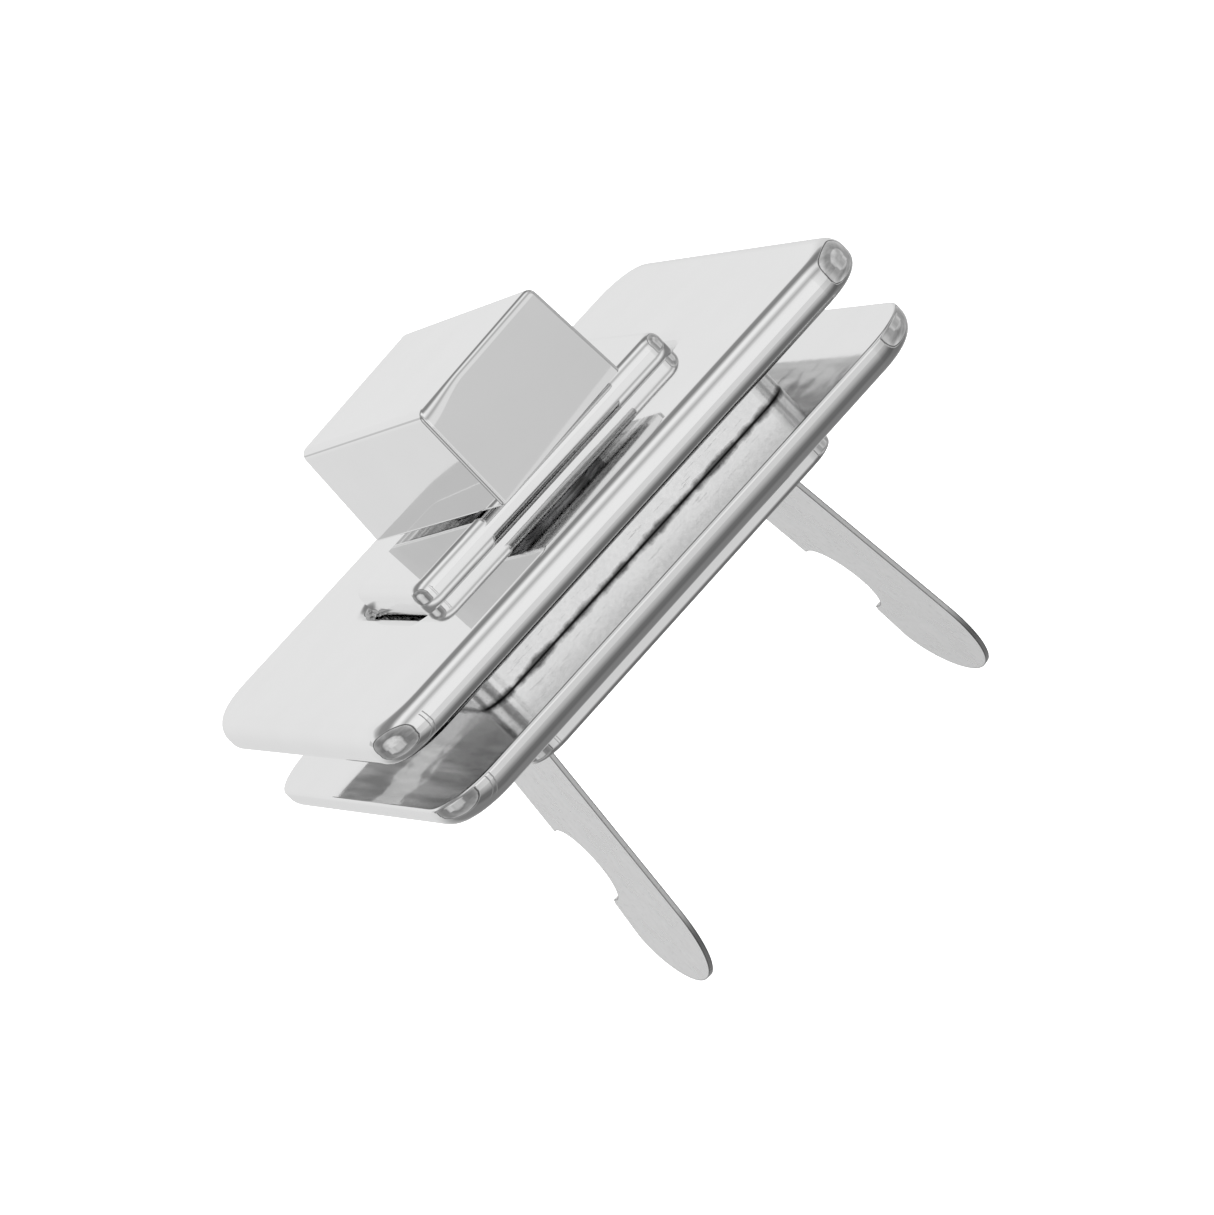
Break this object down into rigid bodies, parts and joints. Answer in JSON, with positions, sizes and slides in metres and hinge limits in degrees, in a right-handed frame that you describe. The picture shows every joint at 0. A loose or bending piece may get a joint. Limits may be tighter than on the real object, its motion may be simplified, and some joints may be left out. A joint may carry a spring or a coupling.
{
  "type": "bag turn lock",
  "caption": "Rectangular turn lock for a bag flap: slotted plates clamp the flap, a block knob turns on a pronged base.",
  "frame": {"origin": "centre of the base plate's underside, on the knob's axis", "axes": "+Z out of the bag, towards the knob; +X along the slot's long side; +Y across the slot"},
  "size_m": [0.0372, 0.0344, 0.0359],
  "materials": {
    "plate_nickel": "mirror-polished bright nickel plating on cast zinc",
    "frame_nickel": "mirror-polished bright nickel plating on cast zinc",
    "knob_nickel": "mirror-polished bright nickel plating on cast zinc",
    "housing_nickel": "mirror-polished bright nickel plating on cast zinc",
    "base_nickel": "bright nickel plating",
    "collar_zinc": "grainy as-cast zinc, thinly plated, with fine scratches",
    "prong_steel": "satin nickel-plated sheet, faintly cloudy",
    "stamped_steel": "plain stamped steel",
    "spring_steel": "blued spring steel",
    "screw_steel": "zinc-plated",
    "rivet_brass": "plain",
    "turned_brass": "turned",
    "washer_steel": "stamped, nickel-plated"
  },
  "bodies": {
    "bag_half": {"base_plate": "base_nickel", "housing": "housing_nickel", "housing_screws": "screw_steel", "prong_strip": "prong_steel", "bridge_rivets": "rivet_brass", "spring_carrier": "stamped_steel", "detent_spring": "spring_steel"},
    "turning_knob": {"knob": "knob_nickel", "spindle": "turned_brass", "thrust_washer": "washer_steel", "disc_spring": "spring_steel", "detent_cam": "stamped_steel", "screw_washer": "screw_steel", "knob_screw": "screw_steel"},
    "flap_half": {"front_plate": "plate_nickel", "collar": "collar_zinc", "back_frame": "frame_nickel", "frame_screws": "screw_steel"},
    "left_prong": {"prong_left": "prong_steel"},
    "right_prong": {"prong_right": "prong_steel"}
  },
  "joints": [
    {"name": "knob_turn", "type": "hinge", "parent": "bag_half", "child": "turning_knob", "pos_m": [0, 0, 0.01125], "axis": [0, 0, 1], "range_deg": [-8.5, 81.5]},
    {"name": "flap_lift", "type": "slide", "parent": "bag_half", "child": "flap_half", "axis": [0, 0, 1], "range_m": [-0.0014, 0.0015]},
    {"name": "left_prong_fold", "type": "hinge", "parent": "bag_half", "child": "left_prong", "pos_m": [-0.0102, 0.002, -0.001], "axis": [0, 1, 0], "range_deg": [-6, 84]},
    {"name": "right_prong_fold", "type": "hinge", "parent": "bag_half", "child": "right_prong", "pos_m": [0.0102, 0.002, -0.001], "axis": [0, -1, 0], "range_deg": [-6, 84]}
  ]
}
